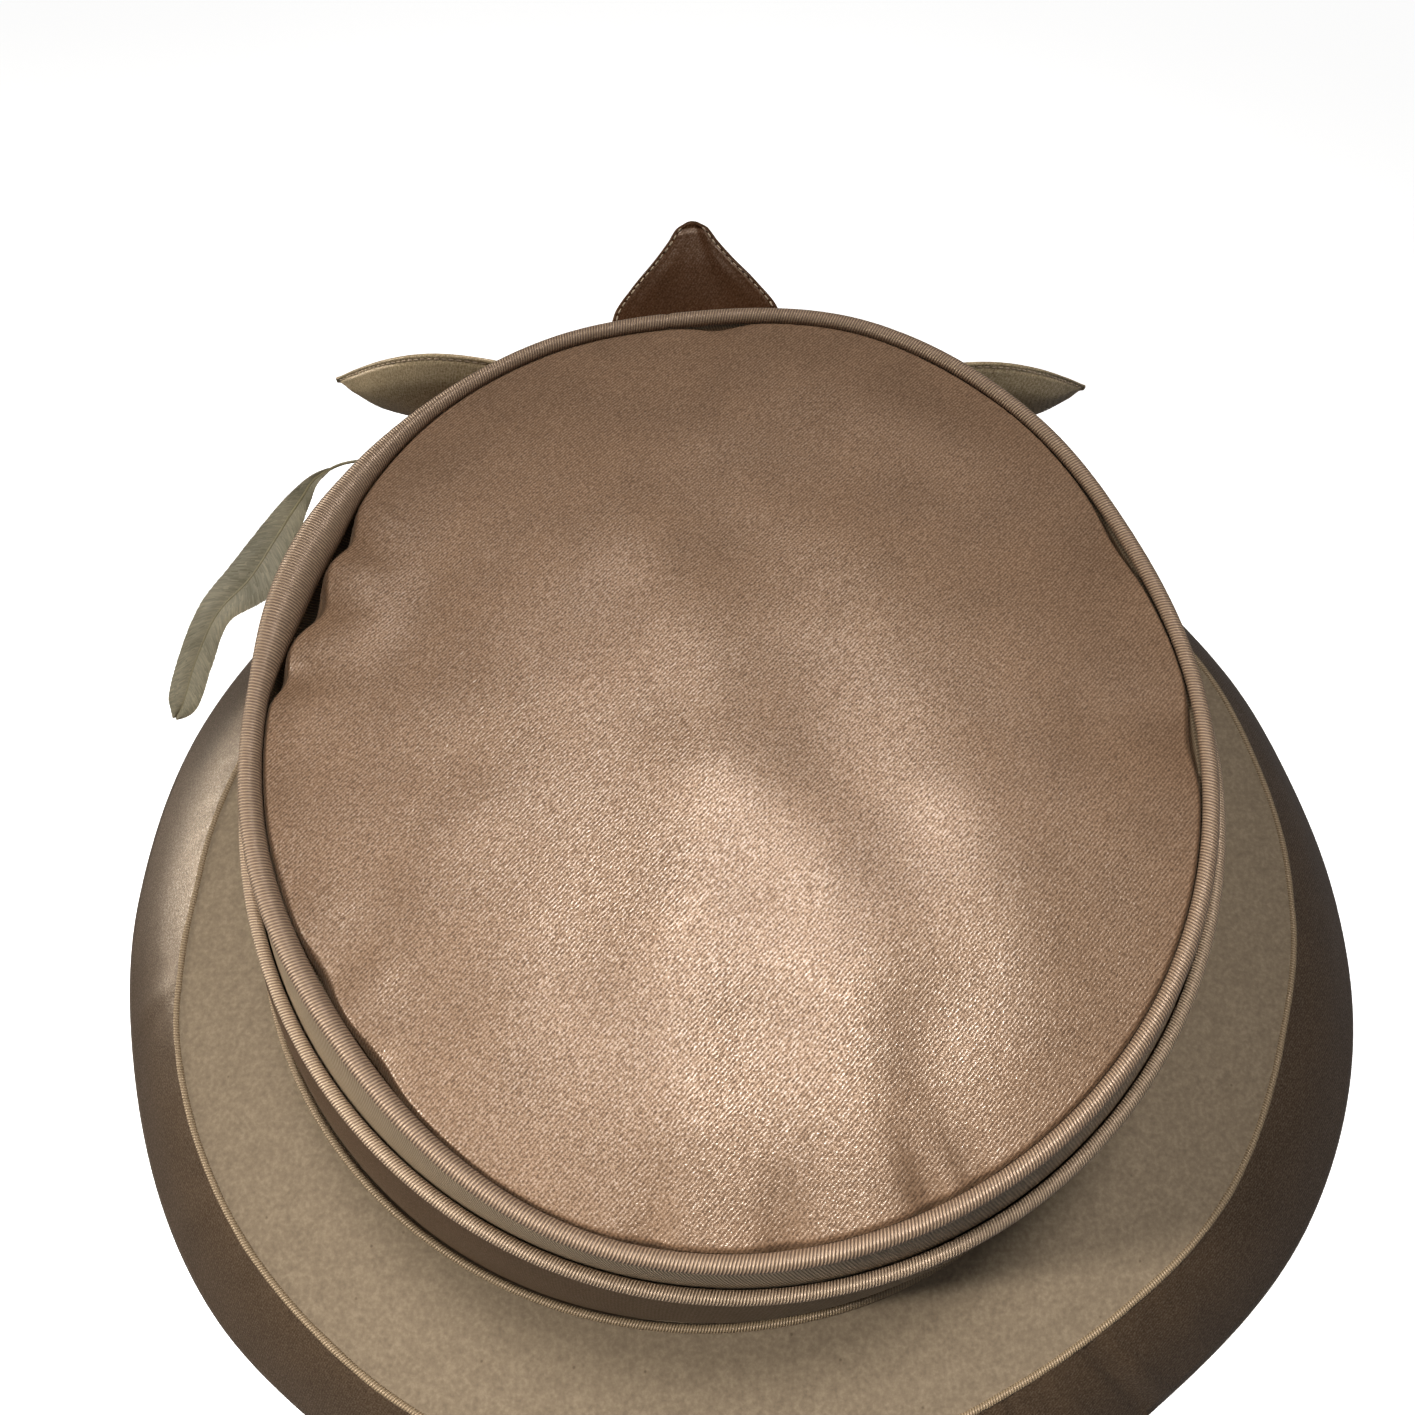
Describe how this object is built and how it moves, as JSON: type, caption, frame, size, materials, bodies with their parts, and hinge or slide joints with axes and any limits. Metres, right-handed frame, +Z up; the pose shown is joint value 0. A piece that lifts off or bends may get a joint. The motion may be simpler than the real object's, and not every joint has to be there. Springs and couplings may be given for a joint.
{
  "type": "dress hat",
  "caption": "Wool felt dress hat with an oval satin crown, a sloping satin brim edge, corded piping, and a satin flower with a feather behind the crown.",
  "frame": {"origin": "on the resting plane under the middle of the brim's outline", "axes": "+Z up, +Y towards the flower at the back of the crown, -Y towards the wearer's face, +X towards the side without the feather"},
  "size_m": [0.308, 0.2928, 0.1205],
  "materials": {
    "felt": "wool felt, matt, short nap",
    "satin": "satin with a soft sheen",
    "cord": "satin-covered cord, fine ribs",
    "plume": "dyed feather, matt barbs"
  },
  "bodies": {
    "root": {"brim_edge": "satin", "brim_felt": "felt", "seam_piping": "cord", "crown_wall": "satin", "hat_band": "satin", "base_trim": "cord", "band_roll": "cord", "crown_tip": "satin", "tip_piping": "cord", "flower_knot": "satin", "petal_center": "satin", "petal_left": "satin", "petal_right": "satin", "feather": "plume"}
  },
  "joints": []
}
